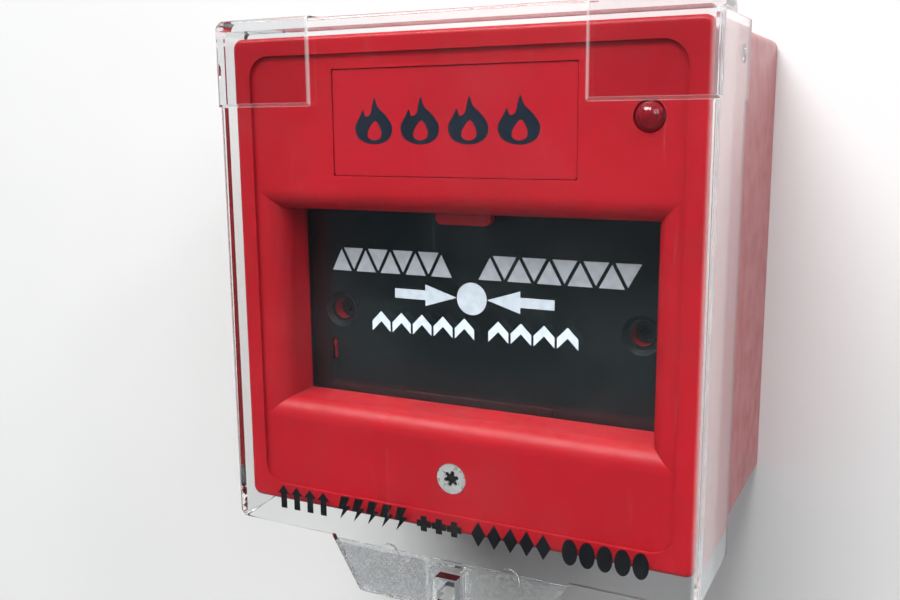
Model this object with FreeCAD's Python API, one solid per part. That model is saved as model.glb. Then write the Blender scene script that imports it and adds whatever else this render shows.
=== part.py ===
"""Surface-mounted break-glass alarm call point with a hinged clear cover.

Millimetres. +X to the right seen from the front, +Y into the wall, +Z up.
Each solid is drawn with y as its depth behind the red front face, and save() then moves it
so that the origin is the middle of the wall face.
"""
import FreeCAD, Part
import os
from math import cos, pi, radians, sin

V = FreeCAD.Vector
TINY = 0.001
FAR = 70.0

# Driving dimensions
FACE = 87.0
DEPTH = 55.0
SPLIT = 23.0
WALL = 2.5
INSIDE = FACE / 2 - WALL
CORNER = 1.8
NOSE = 0.9

# Front frame: a recessed field inside a raised rim, and a flared window
FIELD_Y = 0.6
FIELD_HALF_X = 39.9
FIELD_HALF_Z = 40.3
FIELD_CORNER = 4.0
PLATE = 2.0
WINDOW_HALF_X = 34.7
WINDOW_LOW = -22.8
WINDOW_HIGH = 12.5
WINDOW_DRAFT = 0.4
FLARE_X = 4.5
FLARE_Z = 3.7
LIP_Y = 8.0
LIP_BACK = 9.1

# Label, indicator and front screw
LABEL_HALF_X = 22.7
LABEL_LOW = 19.25
LABEL_HIGH = 37.7
LABEL_Y = 0.8
LABEL_BACK = 1.5
LABEL_GAP = 0.12
LED_X = 34.0
LED_Z = 29.1
LED_R = 2.4
LED_TIP = -1.0
LED_BACK = 8.0
SCREW_Z = -33.7
SCREW_HEAD_R = 2.8
SCREW_R = 1.45
BOSS_R = 4.2
BOSS_Y = 8.0

# Breakable pane, its film and the cradle under it
PANE_HALF_X = 38.0
PANE_LOW = -26.2
PANE_HIGH = 16.2
PANE_Y = 9.6
PANE_BACK = 11.6
FILM = 0.1
CRADLE_HALF_X = 15.0
CRADLE_LOW = PANE_LOW - 1.2
CRADLE_NOTCH = 6.0

# Chassis plate behind the pane, fixed to the back box on the standard 60.3 mm centres
CHASSIS_Y = 14.0
CHASSIS_BACK = 16.0
CHASSIS_HALF_X = 39.4
CHASSIS_HALF_Z = 40.4
FIXING_X = 60.3 / 2
FIXING_Z = -7.6
FIXING_Y = 20.0
FIXING_R = 1.25
FIXING_HEAD_R = 1.9
FIXING_HEAD_Y = 17.2
BUSH_R = 2.6
BUSH_BORE_R = 2.0
BUSH_FLOOR_Y = 18.4
BUSH_BACK = 19.0
INSERT_END = 28.0

# Test rocker: the nose holds the cradle up, and a key lifts the other arm
ROCKER_X = 20.0
ROCKER_Z = -31.8
ROCKER_Y = 9.8
ROCKER_BACK = 12.6
ROCKER_ARM = 10.8
ROCKER_HUB_R = 2.8
NOSE_R = 1.2
NOSE_GAP = 0.05
PIN_R = 1.5
RUNNING = 0.05
KEY_X = ROCKER_X + ROCKER_ARM
KEY_Y = 11.0
KEY_R = 2.5
SPRING_X = 12.5
SPRING_LOW = -39.4
SPRING_HIGH = -31.4
SPRING_R = 1.45
SPRING_WIRE_R = 0.25
SPRING_PITCH = 1.3

# Switch, its plunger and the circuit board
SWITCH_HALF_X = 10.0
SWITCH_LOW = 21.0
SWITCH_HIGH = 31.2
SWITCH_Y = 7.6
PLUNGER_R = 1.2
PLUNGER_Y = 10.6
PLUNGER_TOP = 24.5
SWITCH_PINS_X = (-7.0, 0.0, 7.0)
SWITCH_PINS_Z = 27.0
SWITCH_SCREWS_X = (-7.0, 7.0)
SWITCH_SCREWS_Z = 23.4
BOARD_Y = 21.2
BOARD_BACK = 22.8
BOARD_LOW = 3.0
BOARD_HIGH = 38.4
BOARD_LEFT = -30.0
BOARD_RIGHT = 38.4
BOARD_FIXINGS = ((-26.0, 34.5), (-26.0, 7.0), (34.5, 7.0), (24.0, 34.5))
TERMINALS = 6
TERMINAL_PITCH = 6.0
TERMINAL_LEFT = -20.0
TERMINAL_LOW = 8.0
TERMINAL_HIGH = 16.0
TERMINAL_BACK = 33.0
RESISTORS_Z = (24.0, 30.0)

# Back box: wall fixings, cable entries and the earth terminal
BOX_BACK = DEPTH - WALL
POST_R = 4.2
WALL_HOLE_SPACING = 50.0
WALL_HOLE_R = 2.25
KNOCKOUT_R = 10.0
KNOCKOUT_Y = 39.0
ENTRY_Z = 15.0
ENTRY_R = 10.2
GROMMET_FLANGE_R = 12.0
GROMMET_BORE_R = 6.0
EARTH_X = -8.0
EARTH_Z = -30.0

# Clear cover, hinged near its top corners, with a lift tab and seal slot below
COVER_HALF_X = 45.0
COVER_LOW = -47.5
COVER_HIGH = 46.3
COVER_FRONT = -3.3
COVER_WALL = 1.8
COVER_INSIDE_X = 43.8
COVER_SIDE_LOW_REAR = -46.0
COVER_INSIDE_HIGH = 44.7
COVER_REAR = 17.0
COVER_TOP_REAR = 5.0
COVER_CORNER = 1.8
COVER_NOSE = 0.8
PAD_STEP = 0.3
PAD_BEVEL = 0.45
PAD_X = 25.5
PAD_Z = 31.9
HINGE_Y = 13.5
HINGE_Z = 38.5
TAB_HALF_TOP = 23.3
TAB_HALF_LOW = 17.5
TAB_LOW = -57.2
TAB_RIDGE = -48.3
TAB_DISC_X = 11.9
TAB_DISC_Z = -49.5


def box(x0, x1, y0, y1, z0, z1):
    return Part.makeBox(x1 - x0, y1 - y0, z1 - z0, V(x0, y0, z0))


def rod_x(radius, x0, x1, y, z):
    return Part.makeCylinder(radius, x1 - x0, V(x0, y, z), V(1, 0, 0))


def rod_y(radius, x, y0, y1, z):
    return Part.makeCylinder(radius, y1 - y0, V(x, y0, z), V(0, 1, 0))


def rod_z(radius, x, y, z0, z1):
    return Part.makeCylinder(radius, z1 - z0, V(x, y, z0), V(0, 0, 1))


def cone_y(radius0, radius1, x, y0, y1, z):
    return Part.makeCone(radius0, radius1, y1 - y0, V(x, y0, z), V(0, 1, 0))


def rounded_block(half_x, z0, z1, y0, y1, corner):
    """A block along y with its four long edges rounded."""
    block = box(-half_x, half_x, y0, y1, z0, z1)
    long_edges = [edge for edge in block.Edges if abs(edge.Vertexes[0].Y - edge.Vertexes[-1].Y) > TINY]
    return block.makeFillet(corner, long_edges)


def soften_front(block, y, radius):
    """Round the edges that lie in the plane at depth y."""
    front = [edge for edge in block.Edges if abs(edge.BoundBox.YMin - y) + abs(edge.BoundBox.YMax - y) < TINY]
    return block.makeFillet(radius, front)


def plate_xz(outline, y0, y1):
    """A flat plate cut to an outline of (x, z) corners."""
    points = [V(x, y0, z) for x, z in outline]
    face = Part.Face(Part.makePolygon(points + points[:1]))
    return face.extrude(V(0, y1 - y0, 0))


def one(shape):
    """The single solid that a cut or a join has made."""
    solids = shape.removeSplitter().Solids
    if len(solids) != 1:
        raise ValueError("expected one solid, found %d" % len(solids))
    return solids[0]


def save(node, *solids):
    shape = solids[0].copy() if len(solids) == 1 else Part.makeCompound(list(solids))
    shape.translate(V(0, -DEPTH, 0))
    if not shape.isValid():
        raise ValueError(node + " is not valid")
    shape.exportStep("parts/" + node + ".step")


def flare_prism(across, middle, half, flare, grow, back):
    """A long prism whose sides are straight at the back and flare out to the field in front.

    It is `grow` wider on every side. `across` is True where its width lies along x, and
    False where it lies along z.
    """
    throat = half + WINDOW_DRAFT
    arc = flare - grow
    centre_y = FIELD_Y + flare
    front = FIELD_Y + grow if grow else -1.0
    edge_x = throat + flare

    def at(offset, y):
        if across:
            return V(middle + offset, y, -FAR)
        return V(-FAR, y, middle + offset)

    edges = []
    for side in (1, -1):
        start = at(side * (half + grow), back)
        lip = at(side * (half + grow), LIP_Y)
        bend = at(side * (throat + grow), centre_y)
        bulge = at(side * (edge_x - arc * cos(pi / 4)), centre_y - arc * sin(pi / 4))
        end = at(side * edge_x, FIELD_Y + grow)
        edges.append(Part.makeLine(start, lip))
        edges.append(Part.makeLine(lip, bend))
        edges.append(Part.Arc(bend, bulge, end).toShape())
        if not grow:
            edges.append(Part.makeLine(end, at(side * edge_x, front)))
    edges.append(Part.makeLine(at(edge_x, front), at(-edge_x, front)))
    edges.append(Part.makeLine(at(half + grow, back), at(-half - grow, back)))
    wire = Part.Wire(Part.__sortEdges__(edges))
    along = V(0, 0, 2 * FAR) if across else V(2 * FAR, 0, 0)
    return Part.Face(wire).extrude(along)


def funnel(grow, back):
    """The window's flared hollow, with curved mitres in its corners."""
    middle_z = (WINDOW_LOW + WINDOW_HIGH) / 2
    half_z = (WINDOW_HIGH - WINDOW_LOW) / 2
    wide = flare_prism(True, 0.0, WINDOW_HALF_X, FLARE_X, grow, back)
    tall = flare_prism(False, middle_z, half_z, FLARE_Z, grow, back)
    return wide.common(tall)


def front_frame():
    outer = rounded_block(FACE / 2, -FACE / 2, FACE / 2, 0, SPLIT, CORNER)
    outer = soften_front(outer, 0, NOSE)
    field = rounded_block(FIELD_HALF_X, -FIELD_HALF_Z, FIELD_HALF_Z, -1, FIELD_Y, FIELD_CORNER)
    cavity = box(-INSIDE, INSIDE, FIELD_Y + PLATE, SPLIT + 1, -INSIDE, INSIDE)
    shell = outer.cut([field, cavity])

    surround = funnel(PLATE, LIP_BACK)
    screw_boss = rod_y(BOSS_R, 0, FIELD_Y + PLATE - 0.2, BOSS_Y, SCREW_Z)
    label_backing = box(-LABEL_HALF_X - 2, LABEL_HALF_X + 2, FIELD_Y + PLATE - 0.2, LABEL_BACK + 1.7,
                        LABEL_LOW - 1, LABEL_HIGH + 2)
    led_ring = rod_y(LED_R + 1.6, LED_X, FIELD_Y + PLATE - 0.2, LED_BACK - 1.2, LED_Z)
    top_hooks = [box(x - 3, x + 3, CHASSIS_BACK + 0.2, CHASSIS_BACK + 2, CHASSIS_HALF_Z - 1, INSIDE + 0.5)
                 for x in (-20, 20)]
    shell = shell.fuse([surround, screw_boss, label_backing, led_ring] + top_hooks)

    clip = plate_xz([(-5.3, WINDOW_HIGH + 1), (-5.3, 11.6), (-4.5, 10.8), (4.5, 10.8), (5.3, 11.6),
                     (5.3, WINDOW_HIGH + 1)], 6.0, 7.6)
    label_recess = box(-LABEL_HALF_X, LABEL_HALF_X, -1, LABEL_BACK, LABEL_LOW, LABEL_HIGH)
    led_hole = rod_y(LED_R + 0.15, LED_X, -1, LED_BACK, LED_Z)
    screw_hole = rod_y(SCREW_R + 0.15, 0, 0, BOSS_Y + 1, SCREW_Z)
    sink_r = SCREW_HEAD_R + 0.1
    rim_hole = rod_y(sink_r, 0, -1, FIELD_Y + 0.3, SCREW_Z)
    sink = cone_y(sink_r, SCREW_R + 0.15, 0, FIELD_Y + 0.3, FIELD_Y + 1.65, SCREW_Z)
    hinge_holes = rod_x(PIN_R + RUNNING, -FAR, FAR, HINGE_Y, HINGE_Z)
    key_hole = rod_z(KEY_R, KEY_X, KEY_Y, -FACE / 2 - 1, -INSIDE + 1)
    shell = shell.cut([funnel(0, LIP_BACK + 1), label_recess, led_hole, screw_hole, rim_hole, sink,
                       hinge_holes, key_hole])
    save("front_frame", one(shell.fuse(clip)))


def label_plate():
    plate = rounded_block(LABEL_HALF_X - LABEL_GAP, LABEL_LOW + LABEL_GAP, LABEL_HIGH - LABEL_GAP,
                          LABEL_Y, LABEL_BACK, 0.5)
    save("label_plate", plate)


def frame_screw():
    """A countersunk screw with a six-lobed recess."""
    top = FIELD_Y + 0.1
    rim = rod_y(SCREW_HEAD_R, 0, top, top + 0.15, SCREW_Z)
    head = cone_y(SCREW_HEAD_R, SCREW_R, 0, top + 0.15, top + 1.5, SCREW_Z)
    shank = rod_y(SCREW_R, 0, top + 1.5, FIXING_Y - 1, SCREW_Z)
    recess = rod_y(0.95, 0, top - 1, top + 1.0, SCREW_Z)
    lobes = []
    for step in range(6):
        turn = radians(60 * step + 15)
        lobes.append(rod_y(0.4, 1.1 * cos(turn), top - 1, top + 1.0, SCREW_Z + 1.1 * sin(turn)))
    save("frame_screw", one(rim.fuse([head, shank]).cut([recess] + lobes)))


def insert(x, z, y0, y1, outer_r, inner_r):
    """A knurled brass insert: a sleeve with three grip collars."""
    sleeve = rod_y(outer_r - 0.25, x, y0, y1, z)
    collars = []
    pitch = (y1 - y0) / 3
    for step in range(3):
        start = y0 + step * pitch
        collars.append(rod_y(outer_r, x, start, start + 0.6 * pitch, z))
    return one(sleeve.fuse(collars).cut(rod_y(inner_r, x, y0 - 1, y1 + 1, z)))


def chassis_plate():
    plate = rounded_block(CHASSIS_HALF_X, -CHASSIS_HALF_Z, CHASSIS_HALF_Z, CHASSIS_Y, CHASSIS_BACK, 2.0)
    adds = [rod_y(BOSS_R, 0, BOSS_Y + 0.1, FIXING_Y, SCREW_Z)]
    cuts = [rod_y(SCREW_R + 0.15, 0, BOSS_Y, FIXING_Y + 1, SCREW_Z),
            rod_y(2.3, 0, CHASSIS_Y, FIXING_Y + 1, SCREW_Z)]
    for side in (-1, 1):
        x = side * FIXING_X
        adds.append(rod_y(POST_R, x, CHASSIS_BACK - 1, FIXING_Y, FIXING_Z))
        cuts.append(rod_y(FIXING_R + 0.25, x, CHASSIS_Y - 1, FIXING_Y + 1, FIXING_Z))
        cuts.append(rod_y(BUSH_R + RUNNING, x, CHASSIS_Y - 1, BUSH_BACK + RUNNING, FIXING_Z))
        cuts.append(cone_y(3.5, BUSH_R, x, CHASSIS_Y, CHASSIS_Y + 0.9, FIXING_Z))
        # Side rails and the pads that the pane lies against
        rail = sorted((side * (PANE_HALF_X + 0.25), side * CHASSIS_HALF_X))
        pad = sorted((side * (PANE_HALF_X - 1.4), side * (PANE_HALF_X + 0.5)))
        adds.append(box(rail[0], rail[1], LIP_BACK + 0.3, CHASSIS_Y + 1, -30, 18))
        adds.append(box(pad[0], pad[1], PANE_BACK + 0.15, CHASSIS_Y + 1, -30, 18))
    # Ledge under the rocker's spring and the boss behind the rocker's hub
    adds.append(box(SPRING_X - 2.4, SPRING_X + 2.4, ROCKER_Y - 1.2, CHASSIS_Y + 1,
                    -CHASSIS_HALF_Z, SPRING_LOW))
    adds.append(rod_y(ROCKER_HUB_R - 0.3, ROCKER_X, ROCKER_BACK + 0.15, CHASSIS_Y + 1, ROCKER_Z))
    cuts.append(rod_y(PIN_R, ROCKER_X, ROCKER_BACK - 1, CHASSIS_BACK + 1, ROCKER_Z))
    # Stand-offs for the circuit board
    for x, z in BOARD_FIXINGS:
        adds.append(rod_y(2.6, x, CHASSIS_BACK - 1, BOARD_Y, z))
        cuts.append(rod_y(1.0, x, CHASSIS_BACK + 0.5, BOARD_Y + 1, z))
    for x in SWITCH_PINS_X:
        cuts.append(box(x - 1.2, x + 1.2, CHASSIS_Y - 1, CHASSIS_BACK + 1,
                        SWITCH_PINS_Z - 0.8, SWITCH_PINS_Z + 0.8))
    for x in SWITCH_SCREWS_X:
        cuts.append(rod_y(1.0, x, CHASSIS_Y - 1, CHASSIS_BACK + 1, SWITCH_SCREWS_Z))
    cuts.append(rod_y(LED_R + 0.8, LED_X, CHASSIS_Y - 1, CHASSIS_BACK + 1, LED_Z))
    cuts.append(box(-32.5, -31.3, CHASSIS_Y - 1, CHASSIS_BACK + 1, -18.0, -13.6))
    save("chassis_plate", one(plate.fuse(adds).cut(cuts)))


def chassis_screws():
    screws = []
    for side in (-1, 1):
        x = side * FIXING_X
        head = rod_y(FIXING_HEAD_R, x, FIXING_HEAD_Y, BUSH_FLOOR_Y, FIXING_Z)
        shank = rod_y(FIXING_R, x, BUSH_FLOOR_Y - 0.1, INSERT_END - 1, FIXING_Z)
        slots = [box(x - 1.2, x + 1.2, CHASSIS_Y, FIXING_HEAD_Y + 0.7, FIXING_Z - 0.3, FIXING_Z + 0.3),
                 box(x - 0.3, x + 0.3, CHASSIS_Y, FIXING_HEAD_Y + 0.7, FIXING_Z - 1.2, FIXING_Z + 1.2)]
        screws.append(one(head.fuse(shank).cut(slots)))
    save("chassis_screws", *screws)


def screw_bushes():
    """Red bushes that line the plate's two fixing holes; the screw heads bear on their floors."""
    bushes = []
    for side in (-1, 1):
        x = side * FIXING_X
        bush = rod_y(BUSH_R, x, CHASSIS_Y + 0.9, BUSH_BACK, FIXING_Z)
        bush = bush.cut([rod_y(BUSH_BORE_R, x, CHASSIS_Y, BUSH_FLOOR_Y, FIXING_Z),
                         rod_y(FIXING_R + 0.15, x, BUSH_FLOOR_Y - 1, BUSH_BACK + 1, FIXING_Z)])
        bushes.append(one(bush))
    save("screw_bushes", *bushes)


def brass_inserts():
    save("frame_insert", insert(0, SCREW_Z, CHASSIS_Y, FIXING_Y, 2.3, SCREW_R + 0.05))
    box_inserts = [insert(side * FIXING_X, FIXING_Z, FIXING_Y, INSERT_END, 2.6, FIXING_R + 0.05)
                   for side in (-1, 1)]
    save("box_inserts", *box_inserts)


def pane():
    glass = box(-PANE_HALF_X, PANE_HALF_X, PANE_Y, PANE_BACK, PANE_LOW, PANE_HIGH)
    ground = glass.Edges
    save("glass_pane", glass.makeChamfer(0.15, ground))
    save("pane_film", box(-PANE_HALF_X + 0.4, PANE_HALF_X - 0.4, PANE_Y - FILM, PANE_Y,
                          PANE_LOW + 0.8, PANE_HIGH - 0.4))


def pane_cradle():
    """The channel under the pane, notched to clear the boss of the front screw."""
    block = box(-CRADLE_HALF_X, CRADLE_HALF_X, PANE_Y - 0.6, PANE_BACK + 1.1, CRADLE_LOW, -22.0)
    channel = box(-FAR, FAR, PANE_Y - 0.15, PANE_BACK + 0.1, PANE_LOW, 0)
    front = box(-FAR, FAR, 0, PANE_Y, PANE_LOW + 0.6, 0)
    notch = box(-CRADLE_NOTCH, CRADLE_NOTCH, 0, PANE_BACK + 0.1, -FAR, 0)
    under = box(-CRADLE_NOTCH, CRADLE_NOTCH, 0, 20, -FAR, PANE_LOW)
    save("pane_cradle", one(block.cut([channel, front, notch, under])))


def rocker_arm(x0, z0, r0, x1, z1, r1):
    """A flat arm that tapers from one round end to the other."""
    length = V(x1 - x0, 0, z1 - z0).Length
    nx = -(z1 - z0) / length
    nz = (x1 - x0) / length
    outline = [(x0 + nx * r0, z0 + nz * r0), (x1 + nx * r1, z1 + nz * r1),
               (x1 - nx * r1, z1 - nz * r1), (x0 - nx * r0, z0 - nz * r0)]
    return plate_xz(outline, ROCKER_Y, ROCKER_BACK)


def test_rocker():
    nose_x = ROCKER_X - ROCKER_ARM
    nose_z = CRADLE_LOW - NOSE_GAP - NOSE_R
    pad_z = ROCKER_Z - 1.8
    pad_r = 1.3
    hub = rod_y(ROCKER_HUB_R, ROCKER_X, ROCKER_Y, ROCKER_BACK, ROCKER_Z)
    nose = rod_y(NOSE_R, nose_x, ROCKER_Y, ROCKER_BACK, nose_z)
    pad = rod_y(pad_r, KEY_X, ROCKER_Y, ROCKER_BACK, pad_z)
    left = rocker_arm(ROCKER_X, ROCKER_Z, 1.5, nose_x, nose_z, NOSE_R)
    right = rocker_arm(ROCKER_X, ROCKER_Z, 1.7, KEY_X, pad_z, pad_r)
    middle_y = (ROCKER_Y + ROCKER_BACK) / 2
    seat = rod_z(1.35, SPRING_X, middle_y, SPRING_HIGH, SPRING_HIGH + 2)
    spigot = rod_z(SPRING_R - SPRING_WIRE_R - 0.3, SPRING_X, middle_y, SPRING_HIGH - 1.2, SPRING_HIGH + 0.5)
    bore = rod_y(PIN_R + RUNNING, ROCKER_X, 0, CHASSIS_Y, ROCKER_Z)
    save("test_rocker", one(hub.fuse([nose, pad, left, right, seat, spigot]).cut(bore)))


def rocker_pin():
    pin = rod_y(PIN_R, ROCKER_X, ROCKER_Y - 0.15, CHASSIS_BACK, ROCKER_Z)
    head = rod_y(PIN_R + 1.0, ROCKER_X, ROCKER_Y - 1.0, ROCKER_Y - 0.15, ROCKER_Z)
    head = soften_front(head, ROCKER_Y - 1.0, 0.3)
    save("rocker_pin", one(pin.fuse(head)))


def rocker_spring():
    middle_y = (ROCKER_Y + ROCKER_BACK) / 2
    low = SPRING_LOW + SPRING_WIRE_R
    height = SPRING_HIGH - SPRING_LOW - 2 * SPRING_WIRE_R
    helix = Part.makeHelix(SPRING_PITCH, height, SPRING_R)
    ring = Part.makeCircle(SPRING_WIRE_R, V(SPRING_R, 0, 0), V(0, 1, 0))
    coil = Part.Wire(helix.Edges).makePipeShell([Part.Wire(ring)], True, True)
    coil.translate(V(SPRING_X, middle_y, low))
    save("rocker_spring", coil)


def alarm_switch():
    body = rounded_block(SWITCH_HALF_X, SWITCH_LOW, SWITCH_HIGH, SWITCH_Y, CHASSIS_Y, 0.6)
    cuts = [rod_z(PLUNGER_R + RUNNING, 0, PLUNGER_Y, SWITCH_LOW - 1, PLUNGER_TOP + 0.5)]
    screws = []
    pins = []
    for x in SWITCH_SCREWS_X:
        cuts.append(rod_y(1.15, x, 0, CHASSIS_Y + 1, SWITCH_SCREWS_Z))
        head = soften_front(rod_y(1.9, x, SWITCH_Y - 1.2, SWITCH_Y, SWITCH_SCREWS_Z), SWITCH_Y - 1.2, 0.4)
        slot = box(x - FAR, x + FAR, 0, SWITCH_Y - 0.7, SWITCH_SCREWS_Z - 0.25, SWITCH_SCREWS_Z + 0.25)
        shank = rod_y(0.95, x, SWITCH_Y, CHASSIS_BACK, SWITCH_SCREWS_Z)
        screws.append(one(head.cut(slot).fuse(shank)))
    for x in SWITCH_PINS_X:
        pins.append(box(x - 0.8, x + 0.8, CHASSIS_Y, BOARD_BACK + 1.2,
                        SWITCH_PINS_Z - 0.25, SWITCH_PINS_Z + 0.25))
    groove = box(-FAR, FAR, SWITCH_Y + 4.4, SWITCH_Y + 4.6, SWITCH_HIGH - 0.2, SWITCH_HIGH + 1)
    cuts.append(groove)
    save("switch_body", one(body.cut(cuts)))
    save("switch_screws", *screws)
    save("switch_pins", *pins)


def switch_plunger():
    stem = rod_z(PLUNGER_R, 0, PLUNGER_Y, PANE_HIGH + 0.05, PLUNGER_TOP)
    tip = [edge for edge in stem.Edges if abs(edge.BoundBox.ZMax - PANE_HIGH - 0.05) < TINY]
    save("switch_plunger", stem.makeFillet(0.5, tip))


def circuit_board():
    board = box(BOARD_LEFT, BOARD_RIGHT, BOARD_Y, BOARD_BACK, BOARD_LOW, BOARD_HIGH)
    cuts = []
    screws = []
    for x, z in BOARD_FIXINGS:
        cuts.append(rod_y(1.2, x, 0, DEPTH, z))
        head = soften_front(rod_y(2.0, x, BOARD_BACK, BOARD_BACK + 1.3, z), BOARD_BACK + 1.3, 0.4)
        shank = rod_y(0.95, x, CHASSIS_BACK + 1, BOARD_BACK, z)
        cross = [box(x - 1.1, x + 1.1, BOARD_BACK + 0.7, DEPTH, z - 0.2, z + 0.2),
                 box(x - 0.2, x + 0.2, BOARD_BACK + 0.7, DEPTH, z - 1.1, z + 1.1)]
        screws.append(one(head.fuse(shank).cut(cross)))
    for x in SWITCH_PINS_X:
        cuts.append(box(x - 0.85, x + 0.85, 0, DEPTH, SWITCH_PINS_Z - 0.3, SWITCH_PINS_Z + 0.3))
    for side in (-1, 1):
        cuts.append(rod_y(0.32, LED_X + side * 1.27, 0, DEPTH, LED_Z))
    save("circuit_board", one(board.cut(cuts)))
    save("board_screws", *screws)


def terminal_centres():
    return [TERMINAL_LEFT + (step + 0.5) * TERMINAL_PITCH for step in range(TERMINALS)]


def terminal_block():
    right = TERMINAL_LEFT + TERMINALS * TERMINAL_PITCH
    middle_z = (TERMINAL_LOW + TERMINAL_HIGH) / 2 - 0.6
    block = box(TERMINAL_LEFT, right, BOARD_BACK, TERMINAL_BACK, TERMINAL_LOW, TERMINAL_HIGH)
    chamfer = [edge for edge in block.Edges if abs(edge.BoundBox.YMin - TERMINAL_BACK) < TINY
               and edge.BoundBox.XLength > 1]
    block = block.makeChamfer(1.2, chamfer)
    cuts = []
    clamps = []
    screws = []
    for x in terminal_centres():
        cuts.append(box(x - 2.2, x + 2.2, BOARD_BACK + 1.2, BOARD_BACK + 7.2,
                        TERMINAL_LOW - 1, TERMINAL_HIGH - 2))
        cuts.append(rod_y(1.9, x, BOARD_BACK + 7, TERMINAL_BACK + 1, middle_z))
        clamp = box(x - 2.1, x + 2.1, BOARD_BACK + 1.3, BOARD_BACK + 7.1,
                    TERMINAL_LOW + 0.8, TERMINAL_HIGH - 2.1)
        wire_way = box(x - 1.4, x + 1.4, BOARD_BACK + 2.1, BOARD_BACK + 5.5, 0, TERMINAL_HIGH)
        thread = rod_y(1.55, x, BOARD_BACK + 5, BOARD_BACK + 8, middle_z)
        clamps.append(one(clamp.cut([wire_way, thread])))
        screw = rod_y(1.5, x, BOARD_BACK + 5.2, TERMINAL_BACK - 0.8, middle_z)
        slot = box(x - 2, x + 2, TERMINAL_BACK - 1.6, TERMINAL_BACK, middle_z - 0.3, middle_z + 0.3)
        screws.append(one(screw.cut(slot)))
    save("terminal_block", one(block.cut(cuts)))
    save("terminal_clamps", *clamps)
    save("terminal_screws", *screws)


def resistors():
    bodies = []
    y = BOARD_BACK + 1.5
    for z in RESISTORS_Z:
        barrel = rod_x(1.0, -12.0, -6.0, y, z)
        caps = [rod_x(1.25, -12.4, -11.0, y, z), rod_x(1.25, -7.0, -5.6, y, z)]
        leads = [rod_x(0.25, -14.5, -3.5, y, z)]
        leads.append(rod_y(0.3, -14.5, BOARD_BACK, y + 0.35, z))
        leads.append(rod_y(0.3, -3.5, BOARD_BACK, y + 0.35, z))
        bodies.append(one(barrel.fuse(caps + leads)))
    save("resistors", *bodies)


def led():
    centre_y = LED_TIP + LED_R
    dome = Part.makeSphere(LED_R, V(LED_X, centre_y, LED_Z))
    barrel = rod_y(LED_R, LED_X, centre_y, LED_BACK, LED_Z)
    flange = rod_y(LED_R + 0.45, LED_X, LED_BACK, LED_BACK + 1.0, LED_Z)
    save("led_lens", one(dome.fuse([barrel, flange])))
    spacer = rod_y(LED_R + 0.6, LED_X, LED_BACK + 1.0, BOARD_Y, LED_Z)
    leads = []
    bores = []
    for side in (-1, 1):
        x = LED_X + side * 1.27
        leads.append(rod_y(0.25, x, LED_BACK + 1.0, BOARD_BACK + 1.0, LED_Z))
        bores.append(rod_y(0.4, x, 0, DEPTH, LED_Z))
    save("led_spacer", one(spacer.cut(bores)))
    save("led_leads", *leads)


def back_box():
    outer = rounded_block(FACE / 2, -FACE / 2, FACE / 2, SPLIT, DEPTH, CORNER)
    cavity = box(-INSIDE, INSIDE, SPLIT - 1, BOX_BACK, -INSIDE, INSIDE)
    # A tongue that locates the front frame
    tongue = box(-INSIDE + 0.2, INSIDE - 0.2, SPLIT - 2, SPLIT + 3, -INSIDE + 0.2, INSIDE - 0.2)
    tongue = tongue.cut(box(-INSIDE + 1.3, INSIDE - 1.3, 0, DEPTH, -INSIDE + 1.3, INSIDE - 1.3))
    root = box(-INSIDE - 0.5, INSIDE + 0.5, SPLIT, SPLIT + 3, -INSIDE - 0.5, INSIDE + 0.5)
    root = root.cut(box(-INSIDE + 1.3, INSIDE - 1.3, 0, DEPTH, -INSIDE + 1.3, INSIDE - 1.3))
    adds = [tongue, root]
    cuts = []
    for side in (-1, 1):
        x = side * FIXING_X
        adds.append(rod_y(POST_R, x, FIXING_Y, BOX_BACK + 1, FIXING_Z))
        rib = sorted((x, side * (INSIDE + 0.5)))
        adds.append(box(rib[0], rib[1], SPLIT + 3, BOX_BACK + 1, FIXING_Z - 0.8, FIXING_Z + 0.8))
        cuts.append(rod_y(2.6, x, FIXING_Y - 1, INSERT_END, FIXING_Z))
        cuts.append(rod_y(FIXING_R + 0.1, x, INSERT_END, INSERT_END + 4, FIXING_Z))
        # Wall fixings, and a knock-out marked by a groove in the top and in the bottom
        for end in (-1, 1):
            half = WALL_HOLE_SPACING / 2
            cuts.append(rod_y(WALL_HOLE_R, side * half, BOX_BACK - 1, DEPTH + 1, end * half))
        groove_low = side * (FACE / 2 - 0.8) - 0.8
        groove = rod_z(KNOCKOUT_R, 0, KNOCKOUT_Y, groove_low, groove_low + 1.6)
        cuts.append(groove.cut(rod_z(KNOCKOUT_R - 0.8, 0, KNOCKOUT_Y, groove_low - 1, groove_low + 3)))
    cuts.append(rod_y(ENTRY_R, 0, BOX_BACK - 1, DEPTH + 1, ENTRY_Z))
    cuts.append(rod_y(GROMMET_FLANGE_R + 0.2, 0, DEPTH - 1.0, DEPTH + 1, ENTRY_Z))
    save("back_box", one(outer.cut(cavity).fuse(adds).cut(cuts)))


def cable_grommet():
    inner = soften_front(rod_y(GROMMET_FLANGE_R, 0, BOX_BACK - 1.4, BOX_BACK, ENTRY_Z), BOX_BACK - 1.4, 0.6)
    neck = rod_y(ENTRY_R, 0, BOX_BACK, DEPTH - 1.0, ENTRY_Z)
    outer = rod_y(GROMMET_FLANGE_R, 0, DEPTH - 1.0, DEPTH - 0.1, ENTRY_Z)
    bore = rod_y(GROMMET_BORE_R, 0, 0, DEPTH + 1, ENTRY_Z)
    save("cable_grommet", one(inner.fuse([neck, outer]).cut(bore)))


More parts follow.
